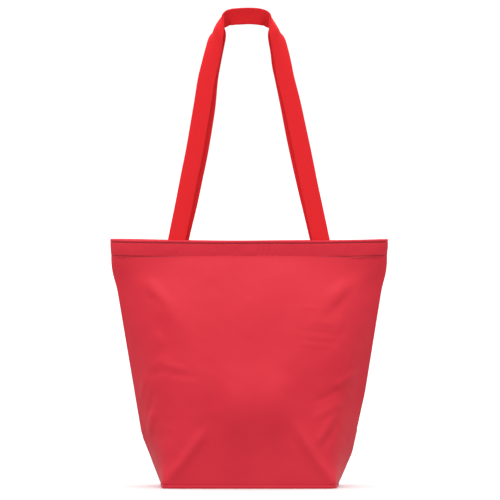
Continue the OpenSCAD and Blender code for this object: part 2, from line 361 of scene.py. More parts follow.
def spline_weights(x, knots):
    """Weights of a cubic B-spline through the end points of evenly spaced knots."""
    n = len(knots)
    t = np.clip((x - knots[0]) / (knots[1] - knots[0]), 0, n - 1 - 1e-9)
    k, f = np.floor(t).astype(int), t - np.floor(t)
    parts = ((1 - f) ** 3 / 6, (3 * f ** 3 - 6 * f ** 2 + 4) / 6,
             (-3 * f ** 3 + 3 * f ** 2 + 3 * f + 1) / 6, f ** 3 / 6)
    table = np.zeros((len(x), n + 2))
    rows = np.arange(len(x))
    for step, part in enumerate(parts):
        np.add.at(table, (rows, k + step), part)
    table[:, 1] += 2 * table[:, 0]
    table[:, 2] -= table[:, 0]
    table[:, n] += 2 * table[:, n + 1]
    table[:, n - 1] -= table[:, n + 1]
    return table[:, 1:-1]


US, VS, CLOTHS = blown_cloths()


def crease(u, v, a, b, width, height):
    """A soft ridge, or a valley where height is negative, between two cloth points in mm."""
    ax, ay, bx, by = a[0] * MM, a[1] * MM, b[0] * MM, b[1] * MM
    length = math.hypot(bx - ax, by - ay)
    tx, ty = (bx - ax) / length, (by - ay) / length
    along = (u - ax) * tx + (v - ay) * ty
    across = (v - ay) * tx - (u - ax) * ty
    ends = smooth(along / (0.3 * length)) * smooth((length - along) / (0.3 * length))
    return height * MM * ends * bump(across, 0, width * MM)


# Creases of the front: from, to (mm across and up the cloth), width and height in mm.
FRONT_CREASES = (
    ((-130, -8), (-52, 104), 8, 3.4),
    ((130, -8), (58, 108), 8, 3.6),
    ((-58, 122), (70, 128), 46, 11.0),
    ((56, 84), (54, 176), 14, 1.8),
    ((94, 62), (134, 120), 6, 1.8),
    ((104, 56), (142, 108), 6, -1.6),
    ((86, 104), (150, 132), 7, 1.3),
    ((90, 128), (146, 152), 5, -1.0),
    ((118, 150), (176, 176), 6, 1.3),
    ((-60, 84), (-66, 190), 20, 1.6),
    ((-164, 300), (-92, 176), 20, -1.5),
    ((-140, 300), (-78, 206), 22, 1.2),
    ((-158, 166), (-112, 178), 5, -0.8),
    ((-120, 172), (-70, 164), 5, -0.9),
    ((-128, 186), (-84, 176), 4, 0.6),
    ((-150, 180), (-118, 194), 4, 0.5),
    ((66, 214), (126, 209), 3.0, 0.5),
    ((74, 224), (140, 221), 2.6, 0.4),
    ((64, 234), (122, 230), 2.6, -0.4),
    ((80, 246), (132, 243), 2.6, 0.35),
    ((60, 268), (118, 264), 3.0, 0.3),
    ((-176, 74), (-146, 122), 8, 1.5),
    ((-168, 104), (-140, 150), 6, -1.0),
    ((-184, 130), (-158, 168), 6, 1.0),
    ((110, 262), (186, 330), 16, 1.2),
)
BACK_CREASES = (
    ((-124, 2), (-64, 92), 9, 2.2),
    ((124, 2), (58, 104), 9, 2.4),
    ((-80, 120), (70, 150), 20, 1.4),
    ((60, 190), (150, 236), 8, -1.0),
    ((-150, 250), (-90, 180), 12, 1.3),
)


def relief(u, v, side):
    """How far the cloth stands out of its blown shape: creases, dents and slight unevenness."""
    out = 0.0
    for a, b, width, height in FRONT_CREASES if side < 0 else BACK_CREASES:
        out = out + crease(u, v, a, b, width, height)
    out = out + ripple(u, v, 85 * MM, 11 + side) * 0.55 * MM
    out = out + ripple(u, v, 26 * MM, 21 + side) * 0.10 * MM
    free = smooth(v / (40 * MM)) * smooth((CLOTH_L - HEM_H - 2 * MM - v) / (36 * MM))
    edge = smooth((HALF_W - np.abs(u)) / (26 * MM))
    return out * free * edge


def cloth_points(u, v, side):
    """Points of the outer face of the front (-1) or back (1) cloth, over rows u and columns v."""
    grid = CLOTHS[side]
    points = np.einsum("ia,jb,abk->ijk", spline_weights(u, US), spline_weights(v, VS), grid)
    uu, vv = np.meshgrid(u, v, indexing="ij")
    normal = outward(points, side)
    points = points + normal * relief(uu, vv, side)[..., None]
    # the cloth hangs with the hem
    points[..., 2] += sag(uu) * smooth(1 + (vv - CLOTH_L + HEM_H) / (80 * MM))
    # the edges turn in at the side seams
    tuck = 0.9 * MM * bump(np.abs(uu), HALF_W, 1.3 * MM)
    points[..., 0] -= np.sign(uu) * tuck
    # and so does the lower edge, at the seam with the base
    return points - normal * (0.7 * MM * bump(vv, SEAM_UP - 0.5 * MM, 1.3 * MM))[..., None]


def fine_steps(low, high, step, close):
    """Even steps, with a few more in the last stretch close to each end."""
    inner = np.linspace(low + close, high - close, max(2, round((high - low - 2 * close) / step)))
    ends = close * np.array([0, 0.2, 0.42, 0.68])
    return np.concatenate([low + ends, inner, high - ends[::-1]])


def wall_sheet(name, side, depth, thick, top, step, bottom=SEAM_UP, wrinkle=0.0, seed=0):
    """One ply of the front or back wall, from depth to depth + thick under the outer face.
    The inner plies stop short of the side seams, where only the outer cloths meet."""
    half = HALF_W - (5 * MM + 0.8 * depth if depth else 0)
    u = fine_steps(-half, half, step, 5 * MM)
    v = fine_steps(bottom, top, step, 3 * MM)
    face = cloth_points(u, v, side)
    normal = outward(face, side)
    uu, vv = np.meshgrid(u, v, indexing="ij")
    inset = np.full(uu.shape, float(depth))
    if wrinkle:
        fade = smooth((top - vv) / (12 * MM)) * smooth((vv - bottom) / (12 * MM))
        inset += wrinkle * (1 + ripple(uu, vv, 16 * MM, seed)) * fade * 0.5
    outer = face - normal * inset[..., None]
    inner = outer - normal * thick
    for grid, gap in ((outer, 0.3 * MM), (inner, 0.15 * MM)):   # kept off the middle plane
        grid[..., 1] = side * np.maximum(grid[..., 1] * side, gap)
    return shell(name, outer, inner, np.stack([uu, vv], -1))


# ---------------------------------------------------------------- base
BASE_POINTS = 440                       # points of the base's outline


def base_loop(inset):
    """Closed outline of the base, moved in: it follows the foot of both big cloths."""
    u = np.linspace(-HALF_W + 0.5 * MM, HALF_W - 0.5 * MM, BASE_POINTS // 2)
    v = np.array([SEAM_UP + 3 * MM, SEAM_UP + 4 * MM])
    front, back = cloth_points(u, v, -1)[:, 0, :2], cloth_points(u, v, 1)[::-1, 0, :2]
    loop = np.concatenate([front, back])
    for _ in range(6):
        loop = (np.roll(loop, 1, 0) + loop * 2 + np.roll(loop, -1, 0)) / 4
    edge = unit(np.roll(loop, -1, 0) - np.roll(loop, 1, 0))
    return loop + np.stack([-edge[:, 1], edge[:, 0]], -1) * inset


def tray(name, levels, low_z, high_z, uneven=0.0):
    """A flat closed piece with the base's outline; levels are the (height, inset) of its rim."""
    rings = []

    def flat(inset, z, share):
        ring = base_loop(inset) * share
        lift = uneven * ripple(ring[:, 0], ring[:, 1], 60 * MM, 5)
        rings.append(np.column_stack([ring, z + lift]))

    shares = (0.01, 0.2, 0.4, 0.6, 0.8, 0.93)
    for share in shares:
        flat(levels[0][1], low_z, share)
    for z, inset in levels:
        rings.append(np.column_stack([base_loop(inset), np.full(BASE_POINTS, z)]))
    for share in shares[::-1]:
        flat(levels[-1][1], high_z, share)
    rings = np.array(rings)
    return tube(name, rings, rings[..., :2])


# ---------------------------------------------------------------- hem, facings and zip
HEM_LEAN = 0.0095                       # the hem is this share narrower at its lower edge


def narrowing(z):
    """The hem's ends lean in downwards, in line with the side seams."""
    return 1 - HEM_LEAN * (TOP_Z - z) / HEM_H


def strip_along_mouth(name, profile, side, detail, step=0.8 * MM):
    """A closed strip that follows the mouth. profile is a list of (inset, height) round it, and
    detail gives the inset and height at each place along the mouth."""
    half = HALF_W - 0.3 * MM
    u = np.linspace(-half, half, round(2 * half / step))
    profile = np.array(profile, float)
    rings = np.zeros((len(u), len(profile), 3))
    for k, (inset, z) in enumerate(profile):
        d, h = detail(u, np.full(len(u), inset), np.full(len(u), z))
        x, y = mouth(u, d, side)
        rings[:, k] = np.stack([x * narrowing(h), y, h], -1)
    uu, pp = np.meshgrid(u, path_length(profile), indexing="ij")
    return tube(name, rings, np.stack([uu, pp], -1))


STITCH = 3.6 * MM                       # one stitch and its gap
PUCKERS = ((-44, 2.4), (-37, 1.8), (14, 2.0), (21, 1.7), (29, 2.3), (140, 2.4))   # place, width
HEM_ROWS = (HEM_Z + 2.0 * MM, TOP_Z - 4.2 * MM)   # heights of the two stitch rows


def sag(x):
    """The mouth hangs a little between its ends."""
    return -2.3 * MM * (1 - (x / HALF_W) ** 2)


def hem_detail(side):
    """Puckers at the stitches, the fullness between the rows, and the hem's uneven run."""
    low, high = HEM_ROWS

    def detail(u, inset, z):
        height = z[0]
        beat = 0.5 + 0.5 * np.cos(2 * math.pi * u / STITCH)
        pull = sum((0.50 + 0.60 * beat) * bump(height, row, 0.8 * MM) for row in HEM_ROWS)
        full = 0.55 * math.sin(math.pi * min(max((height - low) / (high - low), 0), 1))
        full = full * (1 + 0.5 * ripple(u, z, 34 * MM, 41 + side))
        pucker = 0.16 * ripple(u, 0 * z, 7 * MM, 51 + side) * math.exp(-((height - low) / (6 * MM)) ** 2)
        pinch = sum(0.7 * bump(u, at * MM, wide * MM) for at, wide in PUCKERS) * (side < 0)
        low_edge = math.exp(-((height - HEM_Z) / (2.5 * MM)) ** 2)
        lift = 0.9 * bump(u, 155 * MM, 13 * MM) * low_edge * (side < 0)
        inset = inset + MM * (pull - full * 0.8 - pucker + 1.6 * pinch * full - lift)
        wave = 0.35 * MM * ripple(u, 0 * z, 90 * MM, 61 + side)
        return inset, z + sag(u) + wave * (1 if height > HEM_Z + 12 * MM else 0.6)

    return detail


def arc(centre, radius, start, end, count):
    a = np.radians(np.linspace(start, end, count))
    return [(centre[0] + radius * math.cos(t), centre[1] + radius * math.sin(t)) for t in a]


def hem_band(name, side):
    """The strip sewn over the mouth's edge: down the face, rolled over the top, and in."""
    roll = 2.1 * MM
    outer = [(0, z) for z in np.linspace(HEM_Z + 0.4 * MM, TOP_Z - roll - 0.3 * MM, 30)]
    outer += arc((roll, TOP_Z - roll), roll, 165, 15, 8)
    outer += [(2 * roll, TOP_Z - roll - 1 * MM), (2 * roll, TOP_Z - 8 * MM)]
    inner = [(2 * roll - CLOTH_T, TOP_Z - 8 * MM), (2 * roll - CLOTH_T, TOP_Z - roll - 1 * MM)]
    inner += arc((roll, TOP_Z - roll), roll - CLOTH_T, 15, 165, 6)
    inner += [(CLOTH_T, z) for z in np.linspace(TOP_Z - roll - 0.3 * MM, HEM_Z + 0.4 * MM, 12)]
    lower = [(CLOTH_T * 0.8, HEM_Z), (CLOTH_T * 0.3, HEM_Z)]
    return strip_along_mouth(name, outer + inner + lower, side, hem_detail(side))


def sagging(u, inset, z):
    return inset, z + sag(u)


def hem_facing(name, side):
    """The strip that closes the hem inside: it turns over at the top and holds the straps."""
    back, front, top = 7.3 * MM, 4.9 * MM, TOP_Z - 0.8 * MM
    roll = (back - front) / 2
    points = [(back, z) for z in np.linspace(HEM_Z, top - roll, 12)]
    points += arc((back - roll, top - roll), roll, 0, 180, 8)
    points += [(front, top - 5 * MM), (front + 0.5 * MM, top - 5 * MM)]
    points += arc((back - roll, top - roll), roll - 0.5 * MM, 180, 0, 6)
    points += [(back - 0.5 * MM, z) for z in np.linspace(top - roll, HEM_Z, 8)]
    return strip_along_mouth(name, points, side, sagging, step=2 * MM)


def stitch_row(name, height, side, inset):
    """A row of thread stitches on the hem, each a small bar that dips at its ends."""
    half = HALF_W - 5 * MM
    verts, faces = [], []
    sides, thick = 6, 0.48 * MM
    for k in range(round(2 * half / STITCH)):
        u0 = -half + k * STITCH + 0.35 * MM
        s = np.linspace(0, 1, 5)
        u = u0 + s * (STITCH - 0.7 * MM)
        dip = inset - 0.30 * MM * np.sin(math.pi * s) ** 0.5
        x, y = mouth(u, dip, side)
        x = x * narrowing(height)
        z = height + sag(u) + 0.05 * MM * (2 * s - 1) * (1 if k % 2 else -1)
        start = len(verts)
        for i in range(5):
            r = thick * (0.35 + 0.65 * math.sin(math.pi * s[i]) ** 0.5)
            for j in range(sides):
                a = 2 * math.pi * j / sides
                verts.append((x[i], y[i] + r * math.cos(a) * 0.8, z[i] + r * math.sin(a)))
        faces += grid_faces(5, sides, start, wrap=True)
        faces.append(tuple(start + j for j in range(sides)))
        faces.append(tuple(start + 4 * sides + j for j in range(sides)))
    return new_piece(name, verts, faces)


ZIP_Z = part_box("front_zip_tape")[1].z
COIL_Z = 0.5 * (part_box("front_zip_coil")[0].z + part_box("front_zip_coil")[1].z)
ZIP_HALF = 178 * MM                     # half the length of the tapes
COIL_HALF = 176 * MM                    # half the length of the coils


def zip_tape(name, side):
    """One half of the zip's tape: flat at the coil, turned down along the facing."""
    y0, y1, low = 0.9 * MM, 5.9 * MM, ZIP_Z - 12 * MM
    top = [(y0, ZIP_Z), (2.5 * MM, ZIP_Z), (4.4 * MM, ZIP_Z)]
    top += arc((y1 - 1.2 * MM, ZIP_Z - 1.2 * MM), 1.2 * MM, 80, 0, 4) + [(y1, low)]
    under = [(y1 - 0.45 * MM, low)] + arc((y1 - 1.2 * MM, ZIP_Z - 1.2 * MM), 0.75 * MM, 0, 80, 4)
    under += [(2.5 * MM, ZIP_Z - 0.45 * MM), (y0, ZIP_Z - 0.45 * MM)]
    x = np.linspace(-ZIP_HALF, ZIP_HALF, 300)
    points = np.array(top + under)
    rings = np.zeros((len(x), len(points), 3))
    # the facings come together towards the ends, and the tapes with them
    close = np.clip((HALF_W - 6 * MM - np.abs(x)) / (30 * MM), 0.62, 1)
    for k, (y, z) in enumerate(points):
        rings[:, k] = np.stack([x, side * (y0 + (y - y0) * close), np.full(len(x), z)], -1)
    uu, pp = np.meshgrid(x, path_length(points), indexing="ij")
    return tube(name, rings, np.stack([uu, pp], -1))


def zip_coil(name, side):
    """One nylon coil: a wound wire whose turns reach in to the middle line."""
    pitch, wire, per_turn = 1.5 * MM, 0.36 * MM, 10
    turns = round(2 * COIL_HALF / pitch)
    t = np.arange(turns * per_turn + 1) / per_turn
    a = 2 * math.pi * t
    x = -COIL_HALF + pitch * (t + (0.5 if side > 0 else 0))
    x = np.clip(x, -COIL_HALF, COIL_HALF)
    centre_y, half_y, half_z = 1.75 * MM, 1.5 * MM, 0.72 * MM
    path = np.stack([x, side * (centre_y + half_y * np.cos(a)), COIL_Z + half_z * np.sin(a)], -1)
    return tube_along(name, path, wire, 5)


def tube_along(name, path, radius, sides):
    """A round wire along a path that never runs straight along x."""
    t = unit(np.gradient(path, axis=0))
    a = unit(np.cross(t, np.array([1.0, 0.0, 0.0])))
    b = np.cross(t, a)
    rings = []
    for j in range(sides):
        k = 2 * math.pi * j / sides
        rings.append(path + radius * (a * math.cos(k) + b * math.sin(k)))
    return tube(name, np.stack(rings, 1))


# ---------------------------------------------------------------- straps
def catmull(points, samples):
    """A smooth curve through the points, with evenly spaced samples along it."""
    p = np.array(points, float)
    p = np.concatenate([[2 * p[0] - p[1]], p, [2 * p[-1] - p[-2]]])
    out = []
    for k in range(1, len(p) - 2):
        a, b, c, d = p[k - 1], p[k], p[k + 1], p[k + 2]
        t = np.linspace(0, 1, 40, endpoint=False)[:, None]
        out.append(0.5 * (2 * b + (c - a) * t + (2 * a - 5 * b + 4 * c - d) * t ** 2
                          + (3 * b - a - 3 * c + d) * t ** 3))
    out = np.concatenate(out + [p[-2][None]])
    s = path_length(out[:, :3])
    even = np.linspace(0, s[-1], samples)
    return np.stack([np.interp(even, s, out[:, k]) for k in range(out.shape[1])], -1)


# Each stop of a strap is x, y, z in mm and the way its front face looks. The straps lie flat
# up to the crown, roll back over a slanting line at each corner, and cross the top side by
# side, so that the crown shows the straps' other face.
FRONT_STOPS = (
    (-108.6, -8.3, 332, 0, -1, 0), (-103.6, -8.3, 357.2, 0, -1, 0), (-91.5, -7.8, 418, 0, -1, 0),
    (-78.4, -6.6, 484, -0.02, -1, 0), (-68.6, -5.4, 541, -0.04, -1, 0), (-61.8, -4.6, 583, -0.06, -1, 0),
    (-55.9, -4.2, 608, -0.12, -1, 0), (-51.0, -4.2, 629, -0.30, -0.95, 0.08),
    (-47.6, -3.6, 647, -0.58, -0.78, 0.24), (-42.8, 0.6, 661.6, -0.74, -0.08, 0.66),
    (-33.6, 6.2, 672.2, -0.36, 0.80, 0.46), (-24.5, 8.0, 675.0, -0.06, 0.95, 0.3),
    (-15, 8.2, 675.6, 0, 0.95, 0.3), (-2, 8.2, 676.2, 0, 0.95, 0.3), (8, 8.2, 675.9, 0, 0.95, 0.3),
    (17.0, 8.0, 674.8, 0.06, 0.95, 0.3), (26.0, 6.2, 671.8, 0.36, 0.80, 0.46),
    (34.6, 0.6, 661.0, 0.74, -0.08, 0.66), (40.4, -3.6, 646, 0.58, -0.78, 0.24),
    (45.0, -4.2, 626, 0.36, -0.93, 0.08), (49.0, -4.2, 606, 0.2, -0.98, 0), (53.0, -4.6, 585, 0.1, -1, 0),
    (63.8, -5.4, 541, 0.04, -1, 0), (76.0, -6.6, 484, 0.02, -1, 0), (89.6, -7.8, 418, 0, -1, 0),
    (102.7, -8.3, 357.2, 0, -1, 0), (107.9, -8.3, 332, 0, -1, 0),
)
BACK_STOPS = (
    (-103.2, 8.3, 332, 0, -1, 0), (-98.6, 8.3, 357.2, 0, -1, 0), (-84.4, 7.6, 418, 0, -1, 0),
    (-70.9, 5.6, 484, 0, -1, 0), (-61.6, 3.6, 541, 0, -1, 0), (-57.4, 1.9, 583, -0.04, -1, 0),
    (-53.2, 0.9, 608, -0.10, -1, 0), (-48.6, 0.4, 629, -0.30, -0.95, 0.08),
    (-44.0, 0.2, 646, -0.50, -0.84, 0.22), (-39.0, 1.6, 660, -0.72, 0, 0.69),
    (-32.4, 3.5, 672.0, -0.36, 0.80, 0.46), (-24.0, 4.2, 674.8, -0.06, 0.95, 0.3),
    (-15, 4.4, 675.8, 0, 0.95, 0.3), (-3, 4.4, 676.4, 0, 0.95, 0.3), (7, 4.4, 676.2, 0, 0.95, 0.3),
    (16.4, 4.2, 675.0, 0.06, 0.95, 0.3), (24.6, 3.5, 672.0, 0.36, 0.80, 0.46),
    (31.8, 1.6, 659.6, 0.72, 0, 0.69), (37.4, 0.2, 645, 0.50, -0.84, 0.22),
    (42.0, 0.4, 626, 0.34, -0.94, 0.08), (45.0, 0.9, 606, 0.2, -0.98, 0), (49.6, 1.9, 585, 0.08, -1, 0),
    (58.4, 3.6, 541, 0.02, -1, 0), (69.8, 5.6, 484, 0, -1, 0), (84.8, 7.6, 418, 0, -1, 0),
    (99.4, 8.3, 357.2, 0, -1, 0), (104.6, 8.3, 332, 0, -1, 0),
)


def strap(name, stops, curl):
    """A webbing strap from tail to tail through its stops; curl is how far its middle stands
    out of its edges where it rolls over at the corners."""
    stops = np.array(stops)
    stops[:, :3] *= MM
    length = np.linalg.norm(np.diff(stops[:, :3], axis=0), axis=1).sum()
    path = catmull(stops, round(length / (1.0 * MM)))
    centre = path[:, :3]
    for _ in range(36):                 # the turns are spread over some millimetres
        path[1:-1, 3:] = (path[:-2, 3:] + path[2:, 3:] + 2 * path[1:-1, 3:]) / 4
    t = unit(np.gradient(centre, axis=0))
    n = path[:, 3:]
    n = unit(n - t * (n * t).sum(1, keepdims=True))
    w = np.cross(t, n)
    half_w, half_t = STRAP_W / 2, STRAP_T / 2
    face = [(x * (half_w - 0.5 * MM), half_t * (1 - 0.22 * abs(x) ** 8)) for x in np.linspace(-1, 1, 15)]
    edge = [(half_w - 0.12 * MM, half_t * 0.45), (half_w, 0), (half_w - 0.12 * MM, -half_t * 0.45)]
    section = face + edge + [(a, -b) for a, b in face[::-1]] + [(-a, -b) for a, b in edge]
    s = np.arange(len(centre)) * length / len(centre)
    wander = 0.1 * MM * ripple(s, 0 * s, 60 * MM, 71)
    cupped = 0.35 * MM * (1 + ripple(s, 0 * s, 120 * MM, 72))
    rolled = curl * smooth((1 - np.abs(n[:, 1])) / 0.6)
    rings = np.zeros((len(centre), len(section), 3))
    uv = np.zeros((len(centre), len(section), 2))
    for k, (a, b) in enumerate(section):
        rib = 0.05 * MM * np.cos(2 * math.pi * s / (2.4 * MM) + (math.pi if k % 2 else 0)) * np.sign(b)
        out = (a / half_w) ** 2
        rise = b + rib - cupped * (out - 0.5) + rolled * (0.6 - out)
        rings[:, k] = centre + w * (a + wander)[:, None] + n * rise[:, None]
        uv[:, k] = np.stack([np.full(len(s), a), s], -1)
    return tube(name, rings, uv)


# ---------------------------------------------------------------- bindings inside
def ring_strip(name, profile):
    """A closed ring that follows the base's outline, with a closed profile of (inset, height)."""
    loops = [np.column_stack([base_loop(d), np.full(BASE_POINTS, z)]) for d, z in profile]
    rings = np.stack(loops, 1)
    n, m = rings.shape[:2]
    faces = []
    for i in range(n):
        for j in range(m):
            a, b = (i + 1) % n, (j + 1) % m
            faces.append((i * m + j, a * m + j, a * m + b, i * m + b))
    return new_piece(name, rings.reshape(-1, 3), faces)


def side_binding(name, side):
    """The folded tape over the side seam's raw edges, inside the bag."""
    v = np.linspace(14 * MM, CLOTH_L - HEM_H - 8 * MM, 150)
    x, z = seam_point(side, v)
    rings = []
    for k in range(16):
        a = 2 * math.pi * k / 16
        dx = math.copysign(abs(math.cos(a)) ** 0.4, math.cos(a)) * 3.4 * MM
        dy = math.copysign(abs(math.sin(a)) ** 0.4, math.sin(a)) * 0.95 * MM
        pull = 0.1 * MM * np.cos(2 * math.pi * v / STITCH) * bump(dx, 1.5 * MM, 1 * MM)
        rings.append(np.stack([side * (x - 10 * MM + dx), dy - pull * np.sign(dy), z], -1))
    rings = np.stack(rings, 1)
    uv = np.stack([rings[..., 0] * side - x[:, None], np.repeat(v[:, None], 16, 1)], -1)
    return tube(name, rings, uv)


# ---------------------------------------------------------------- materials
class Nodes:
    """Short calls for a material's node tree."""

    def __init__(self, name):
        self.material = bpy.data.materials.new(name)
        self.material.use_nodes = True
        self.tree = self.material.node_tree
        self.shader = self.tree.nodes["Principled BSDF"]

    def add(self, kind, links=(), **values):
        node = self.tree.nodes.new(kind)
        for key, value in values.items():
            setattr(node, key, value)
        for socket, value in links:
            self.put(node.inputs[socket], value)
        return node

    def put(self, socket, value):
        if isinstance(value, bpy.types.NodeSocket):
            self.tree.links.new(value, socket)
        else:
            socket.default_value = value

    def set(self, **values):
        for key, value in values.items():
            self.put(self.shader.inputs[key.replace("_", " ").title().replace("Ior", "IOR")], value)

    def place(self):
        return self.add("ShaderNodeTexCoord").outputs["Object"]

    def noise(self, scale, detail=2.0, distortion=0.0):
        links = [("Vector", self.place()), ("Scale", scale), ("Detail", detail), ("Distortion", distortion)]
        return self.add("ShaderNodeTexNoise", links).outputs["Fac"]

    def math(self, operation, a, b=0.0):
        return self.add("ShaderNodeMath", [(0, a), (1, b)], operation=operation).outputs[0]

    def waves(self, value, period):
        return self.math("SINE", self.math("MULTIPLY", value, 2 * math.pi / period))

    def mix(self, share, a, b):
        node = self.add("ShaderNodeMix", data_type="RGBA")
        self.put(node.inputs[0], share)
        for socket, value in ((node.inputs[6], a), (node.inputs[7], b)):
            self.put(socket, value if isinstance(value, bpy.types.NodeSocket) else (*value, 1))
        return node.outputs[2]

    def span(self, value, low, high, start=0.0, end=1.0):
        node = self.add("ShaderNodeMapRange", [(0, value), (1, low), (2, high), (3, start), (4, end)])
        return node.outputs[0]

    def bump(self, *layers):
        """layers are (height, distance, strength), the broadest first."""
        normal = None
        for height, distance, strength in layers:
            links = [("Height", height), ("Distance", distance), ("Strength", strength)]
            node = self.add("ShaderNodeBump", links)
            if normal:
                self.put(node.inputs["Normal"], normal)
            normal = node.outputs[0]
        self.put(self.shader.inputs["Normal"], normal)


BODY_RED = (0.612, 0.019, 0.037)
BODY_RED_2 = (0.657, 0.025, 0.043)
BODY_SPECK = (0.550, 0.018, 0.035)


def coated_fabric():
    """Soft-touch coated cloth: an even red with faint clouding and a very fine grain."""
    m = Nodes("coated_fabric")
    cloud = m.span(m.noise(9, 3), 0.3, 0.7)
    speck = m.span(m.noise(520, 2), 0.35, 0.7)
    colour = m.mix(cloud, BODY_RED, BODY_RED_2)
    colour = m.mix(m.math("MULTIPLY", speck, 0.25), colour, BODY_SPECK)
    m.set(base_color=colour, specular_ior_level=0.26, ior=1.42)
    m.set(roughness=m.span(m.noise(30, 3), 0.2, 0.8, 0.50, 0.60))
    m.bump((m.noise(42, 3), 0.0011, 0.22), (m.noise(260, 3), 0.0003, 0.10),
           (m.noise(1500, 2), 0.00006, 0.35))
    return m.material


def webbing():
    """Woven strap: crosswise ribs crossed by faint lines along it, on the strap's own uv."""
    m = Nodes("webbing")
    uv = m.add("ShaderNodeUVMap", uv_map="cloth_uv").outputs[0]
    parts = m.add("ShaderNodeSeparateXYZ", [(0, uv)])
    across, along = parts.outputs[0], parts.outputs[1]
    warp = m.waves(across, 1.25 * MM)
    shift = m.math("MULTIPLY", m.math("SIGN", warp), math.pi / 2)
    turn = m.math("ADD", m.math("MULTIPLY", along, 2 * math.pi / (2.6 * MM)), shift)
    rib = m.math("SINE", turn)
    weave = m.math("MULTIPLY", m.math("ABSOLUTE", warp), m.span(rib, -1, 1))
    patch = m.span(m.noise(170, 3), 0.35, 0.65)
    colour = m.mix(m.math("MULTIPLY", weave, 0.7), (0.68, 0.008, 0.013), (0.96, 0.028, 0.034))
    colour = m.mix(m.math("MULTIPLY", patch, 0.45), colour, (0.80, 0.011, 0.018))
    m.set(base_color=colour, roughness=0.72, specular_ior_level=0.22)
    m.set(sheen_weight=0.12, sheen_roughness=0.5)
    m.put(m.shader.inputs["Sheen Tint"], (1, 0.3, 0.25, 1))
    m.bump((weave, 0.00022, 0.5), (m.noise(1400, 2), 0.00006, 0.4))
    return m.material


def foil_lining():
    """Aluminised film with small pressed-in wrinkles."""
    m = Nodes("foil_lining")
    fold = m.noise(75, 5, distortion=1.2)
    colour = m.mix(m.noise(20, 2), (0.74, 0.75, 0.77), (0.86, 0.86, 0.87))
    m.set(base_color=colour, metallic=0.85, roughness=m.span(m.noise(60, 3), 0.3, 0.7, 0.26, 0.42))
    m.bump((fold, 0.0016, 0.5), (m.noise(420, 3), 0.0002, 0.3))
    return m.material


def foam():
    """White foam sheet with fine cells."""
    m = Nodes("foam")
    cells = m.add("ShaderNodeTexVoronoi", [("Vector", m.place()), ("Scale", 900)])
    m.set(base_color=m.mix(m.noise(60), (0.80, 0.80, 0.78), (0.88, 0.88, 0.86)), roughness=0.9)
    m.bump((cells.outputs["Distance"], 0.0003, 0.5))
    return m.material


def woven_tape(name, dark, light, pitch):
    """A thin woven tape: fine diagonal twill."""
    m = Nodes(name)
    parts = m.add("ShaderNodeSeparateXYZ", [(0, m.place())])
    a = m.waves(m.math("ADD", parts.outputs[0], parts.outputs[2]), pitch)
    b = m.waves(m.math("ADD", parts.outputs[1], parts.outputs[2]), pitch)
    twill = m.span(m.math("ADD", a, b), -2, 2)
    m.set(base_color=m.mix(twill, dark, light), roughness=0.75, specular_ior_level=0.25)
    m.bump((twill, 0.00012, 0.5), (m.noise(1300, 2), 0.00005, 0.4))
    return m.material


def moulded(name, dark, light, roughness, metallic=0.0):
    """Nylon or cast metal: slight mottling and a fine surface."""
    m = Nodes(name)
    m.set(base_color=m.mix(m.noise(180, 3), dark, light), metallic=metallic,
          roughness=m.span(m.noise(300, 4), 0.3, 0.7, roughness - 0.06, roughness + 0.08))
    m.bump((m.noise(700, 4), 0.00004, 0.35))
    return m.material


def pale(name, colour):
    """The studio floor: matt, with hardly any clouding."""
    m = Nodes(name)
    m.set(base_color=m.mix(m.noise(2), colour, tuple(c * 0.995 for c in colour)), roughness=0.9,
          specular_ior_level=0.1)
    return m.material


MATERIALS = {
    "coated_fabric": coated_fabric(),
    "webbing": webbing(),
    "foil_lining": foil_lining(),
    "foam": foam(),
    "binding_tape": woven_tape("binding_tape", (0.60, 0.60, 0.61), (0.74, 0.74, 0.75), 0.9 * MM),
    "zip_tape": woven_tape("zip_tape", (0.42, 0.008, 0.018), (0.56, 0.014, 0.028), 0.7 * MM),
    "zip_coil": moulded("zip_coil", (0.46, 0.010, 0.020), (0.54, 0.014, 0.026), 0.38),
    "metal": moulded("metal", (0.62, 0.62, 0.63), (0.74, 0.74, 0.75), 0.28, 1.0),
}
# Stitch thread in near-black red: partly the thread's own colour, partly painted shade that stands in for
# the shadow in the stitch groove.
THREAD_WITH_PAINTED_SHADE = moulded("thread", (0.07, 0.002, 0.004), (0.12, 0.003, 0.007), 0.6)


# ---------------------------------------------------------------- putting it together
SIDE = {-1: "front", 1: "back"}


def finish_piece(piece, slot, material=None):
    piece.data.materials.append(material or MATERIALS[slot])
    return piece


def swing(piece):
    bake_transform(piece)
    count = len(piece.data.vertices)
    co = np.zeros(count * 3)
    piece.data.vertices.foreach_get("co", co)
    co = co.reshape(-1, 3)
    return piece


def build_walls():
    for side in (-1, 1):
        who = SIDE[side]
        top = CLOTH_L - 1.5 * MM
        cloth = wall_sheet(f"{who}_cloth", side, 0, CLOTH_T, top, 2.6 * MM)
        finish_piece(cloth, "coated_fabric")
        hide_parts(f"{who}_panel", "left_side_panel", "right_side_panel")
        foam_ply = wall_sheet(f"{who}_foam_ply", side, FOAM_D, FOAM_T, top - 1.5 * MM, 6 * MM, 8 * MM)
        finish_piece(foam_ply, "foam")
        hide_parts(f"{who}_foam", "left_side_foam", "right_side_foam")
        foil = wall_sheet(f"{who}_foil_ply", side, LINING_D, LINING_T, top - 1.5 * MM, 3.4 * MM, 8 * MM,
                          wrinkle=1.3 * MM, seed=31 + side)
        finish_piece(foil, "foil_lining")
        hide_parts(f"{who}_lining", "left_side_lining", "right_side_lining")
        for piece, cut in ((cloth, (2 * HALF_W, CLOTH_L)), (foam_ply, (2 * HALF_W, CLOTH_L - 8 * MM)),
                           (foil, (2 * HALF_W, CLOTH_L - 8 * MM))):
            swing(piece)


